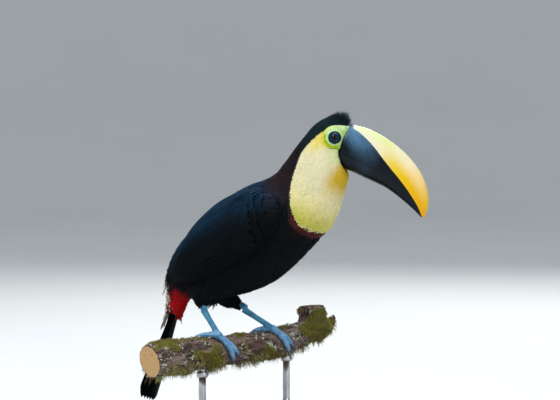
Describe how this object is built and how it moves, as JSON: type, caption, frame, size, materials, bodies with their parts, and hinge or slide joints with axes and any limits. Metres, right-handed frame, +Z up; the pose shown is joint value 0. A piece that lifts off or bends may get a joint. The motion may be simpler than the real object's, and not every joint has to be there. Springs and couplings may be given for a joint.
{
  "type": "perched choco toucan on a display stand",
  "caption": "Life-size still model of a perched toucan with a large curved bill, gripping a short cut branch that rods hold over a round flat base.",
  "frame": {"origin": "centre of the round base's flat underside", "axes": "+Z up; +X the way the bird's trunk faces; +Y towards the bird's left side"},
  "size_m": [0.325, 0.2483, 0.3476],
  "materials": {
    "plumage": "soft black feathers with a faint navy sheen",
    "bib": "silky cream and yellow feathers over the neck, with a red lower edge",
    "bill_upper": "satin horn, yellow along the culmen and black below it",
    "bill_lower": "satin black horn",
    "eye": "wet gloss, dark",
    "legs": "scaled blue skin",
    "claw": "dark horn",
    "bark": "rough bark with moss and lichen",
    "rod": "brushed",
    "base": "dark satin lacquer"
  },
  "bodies": {
    "root": {"stand_base": "base", "stand_rod_near": "rod", "stand_rod_far": "rod", "perch": "bark", "rump": "plumage", "trunk": "plumage", "neck": "bib", "head": "plumage", "eye_right": "eye", "eye_left": "eye", "bill_upper": "bill_upper", "bill_lower": "bill_lower", "wing_right": "plumage", "wing_left": "plumage", "tail": "plumage", "thigh_right": "plumage", "thigh_left": "plumage", "shank_right": "legs", "shank_left": "legs", "foot_right": "legs", "foot_left": "legs", "claw_right_inner_front": "claw", "claw_right_outer_front": "claw", "claw_right_outer_back": "claw", "claw_right_inner_back": "claw", "claw_left_inner_front": "claw", "claw_left_outer_front": "claw", "claw_left_outer_back": "claw", "claw_left_inner_back": "claw"}
  },
  "joints": []
}
